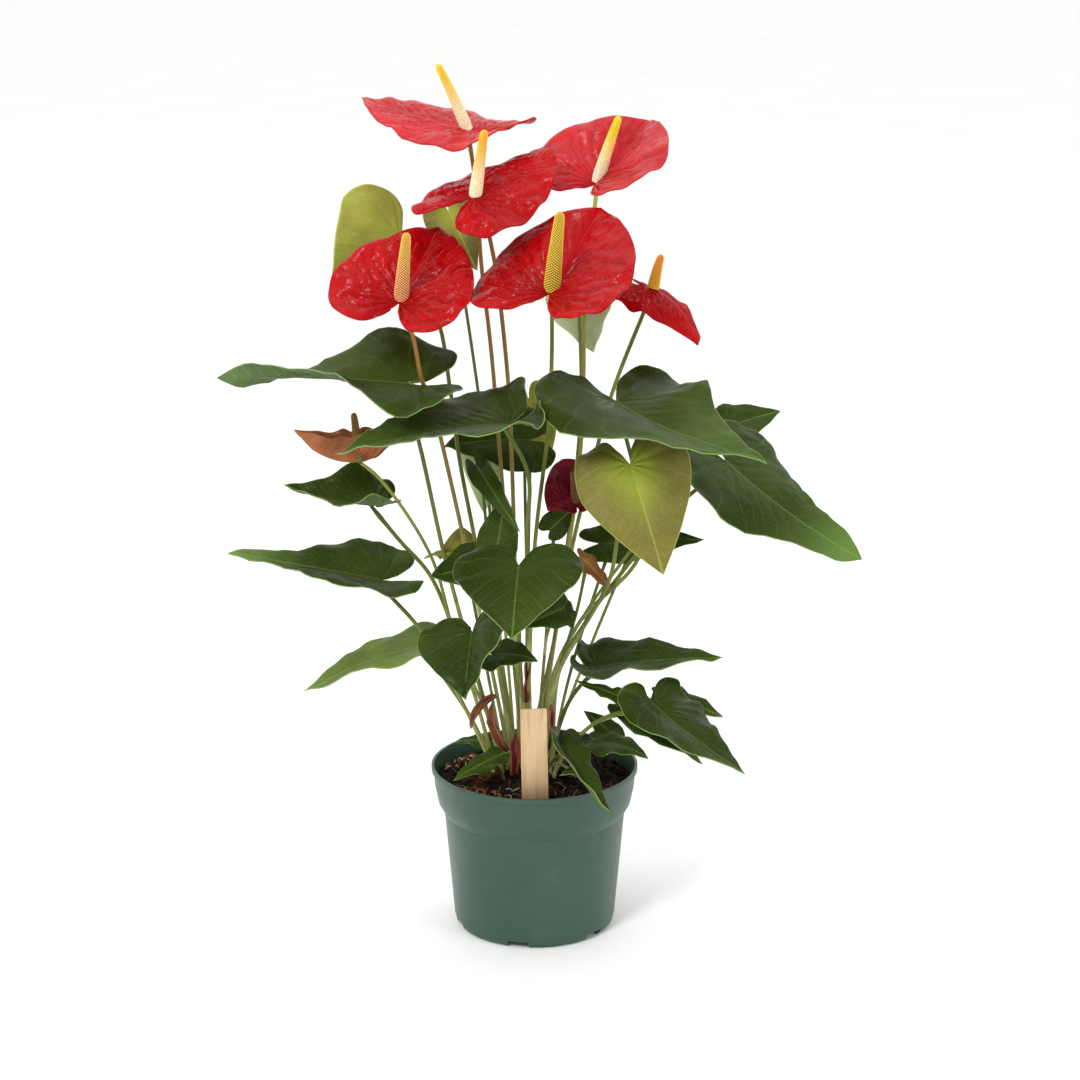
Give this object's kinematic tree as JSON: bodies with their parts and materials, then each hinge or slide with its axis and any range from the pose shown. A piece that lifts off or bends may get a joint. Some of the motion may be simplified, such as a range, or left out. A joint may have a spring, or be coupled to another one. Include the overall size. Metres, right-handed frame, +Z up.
{
  "type": "potted anthurium",
  "caption": "Potted anthurium with heart-shaped leaves on long stalks and glossy red spathes with upright spadices, in a round green nursery pot with a bare wooden label.",
  "frame": {"origin": "centre of the pot's underside, on the flat pad that stands level with the foot ring", "axes": "+Z up along the pot's axis and the plant's height, -Y towards the plant's front with the wooden label"},
  "size_m": [0.5112, 0.2727, 0.7129],
  "materials": {
    "pot_plastic": "satin",
    "soil": "crumbly",
    "label_wood": "raw",
    "leaf_green": "glossy",
    "leaf_olive": "glossy",
    "leaf_bronze": "satin",
    "spathe_red": "glossy",
    "spathe_young": "glossy",
    "spadix": "matte",
    "bloom_stalk": "satin"
  },
  "bodies": {
    "root": {"pot": "pot_plastic", "soil": "soil", "plant_label": "label_wood", "bloom_bud_right_spathe": "spathe_red", "bloom_bud_right_stalk": "bloom_stalk", "bloom_centre_left_spadix": "spadix", "bloom_centre_left_spathe": "spathe_red", "bloom_centre_left_stalk": "bloom_stalk", "bloom_front_centre_spadix": "spadix", "bloom_front_centre_spathe": "spathe_red", "bloom_front_centre_stalk": "bloom_stalk", "bloom_front_left_spadix": "spadix", "bloom_front_left_spathe": "spathe_red", "bloom_front_left_stalk": "bloom_stalk", "bloom_right_spadix": "spadix", "bloom_right_spathe": "spathe_red", "bloom_right_stalk": "bloom_stalk", "bloom_top_left_spadix": "spadix", "bloom_top_left_spathe": "spathe_red", "bloom_top_left_stalk": "bloom_stalk", "bloom_top_right_spadix": "spadix", "bloom_top_right_spathe": "spathe_red", "bloom_top_right_stalk": "bloom_stalk", "bloom_young_dark_spadix": "spadix", "bloom_young_dark_spathe": "spathe_young", "bloom_young_dark_stalk": "bloom_stalk", "bloom_young_left_spadix": "spadix", "bloom_young_left_spathe": "spathe_young", "bloom_young_left_stalk": "bloom_stalk", "front_shoot": "leaf_green", "inner_shoot": "leaf_green", "leaf_behind_right": "leaf_green", "leaf_broad_right": "leaf_green", "leaf_bronze": "leaf_bronze", "leaf_dark_inner": "leaf_green", "leaf_dark_left": "leaf_green", "leaf_dark_right": "leaf_green", "leaf_dark_upright": "leaf_green", "leaf_drooping_right": "leaf_green", "leaf_front_heart": "leaf_green", "leaf_front_low_heart": "leaf_green", "leaf_hanging_olive": "leaf_olive", "leaf_left_folded": "leaf_green", "leaf_left_long": "leaf_green", "leaf_left_low": "leaf_green", "leaf_middle_left": "leaf_green", "leaf_narrow_arched": "leaf_green", "leaf_olive_inner": "leaf_olive", "leaf_pale_hanging": "leaf_olive", "leaf_right_flat": "leaf_green", "leaf_rim_back": "leaf_green", "leaf_rim_left": "leaf_green", "leaf_small_centre": "leaf_green", "leaf_top_left": "leaf_olive", "leaf_top_middle": "leaf_olive", "leaf_under_bloom": "leaf_green", "leaf_upper_left": "leaf_green", "rim_shoot_right": "leaf_green", "side_shoot": "leaf_green", "young_pair": "leaf_olive"}
  },
  "joints": []
}
